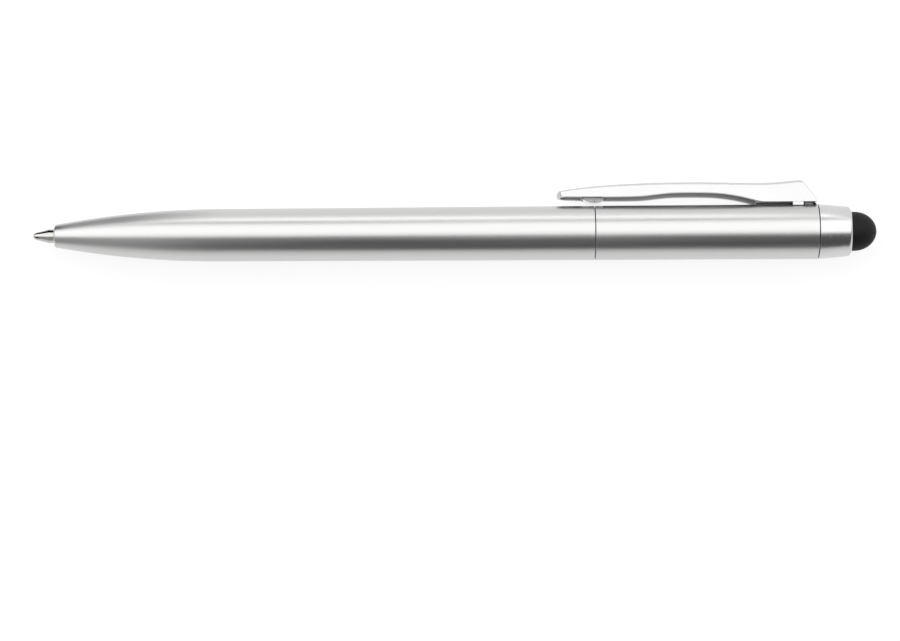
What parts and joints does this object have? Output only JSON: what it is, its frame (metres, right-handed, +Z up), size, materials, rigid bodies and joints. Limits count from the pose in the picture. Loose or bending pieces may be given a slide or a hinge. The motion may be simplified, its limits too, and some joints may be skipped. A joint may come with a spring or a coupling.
{
  "type": "stylus ballpoint pen",
  "caption": "Slim round twist-action ballpoint pen with a tapered nose, an arched pressed clip and a rubber touch-screen dome on its rear end, lying on its side.",
  "frame": {"origin": "on the table under the middle of the pen's footprint, half way between the writing point and the dome's end", "axes": "+X along the barrel from the writing point to the stylus dome, +Z up from the table that the pen lies on, +Y to the side that the clip points to"},
  "size_m": [0.14, 0.013, 0.0091],
  "materials": {
    "satin_barrel": "satin silver, fine even grain",
    "bright_cap": "bright, slightly brushed round",
    "bright_clip": "bright plated",
    "black_rubber": "matte",
    "nickel_point": "turned and polished",
    "hard_ball": "polished",
    "black_plastic": "moulded",
    "spring_steel": "drawn wire",
    "housing_steel": "turned",
    "tube_plastic": "clear, extruded",
    "blue_ink": "wet",
    "clear_grease": "wet",
    "brass": "turned"
  },
  "bodies": {
    "upper": {"upper_barrel": "satin_barrel", "mechanism_housing": "housing_steel", "end_plug": "black_plastic", "end_cap": "bright_cap", "stylus_stem": "brass", "stylus_tip": "black_rubber", "stylus_collar": "brass"},
    "clip": {"clip": "bright_clip"},
    "lower": {"lower_barrel": "satin_barrel", "nose_bush": "black_plastic", "barrel_insert": "brass", "drive_sleeve": "black_plastic", "friction_ring": "black_rubber", "retaining_ring": "spring_steel", "return_spring": "spring_steel"},
    "refill": {"refill_tube": "tube_plastic", "refill_tip": "nickel_point", "ink_column": "blue_ink", "grease_plug": "clear_grease", "refill_carrier": "black_plastic", "cross_pin": "spring_steel"},
    "ball": {"writing_ball": "hard_ball"}
  },
  "joints": [
    {"name": "barrel_twist", "type": "hinge", "parent": "upper", "child": "lower", "pos_m": [0.0232, -0.00196, 0.00455], "axis": [1, 0, 0], "range_deg": [0, 180]},
    {"name": "refill_slide", "type": "slide", "parent": "lower", "child": "refill", "axis": [1, 0, 0], "range_m": [0, 0.0045], "deforming": ["return_spring"]},
    {"name": "ball_roll", "type": "hinge", "parent": "refill", "child": "ball", "pos_m": [-0.0696, -0.00196, 0.00455], "axis": [0, 1, 0], "continuous": true},
    {"name": "clip_flex", "type": "hinge", "parent": "upper", "child": "clip", "pos_m": [0.0595, 0.00239, 0.0032], "axis": [0, -0.2957, -0.9553], "range_deg": [0, 3], "stiffness_Nm_per_rad": 2.2}
  ],
  "couplings": [
    {"joint": "barrel_twist", "follows": "refill_slide", "rad_per_m": 698.13}
  ]
}
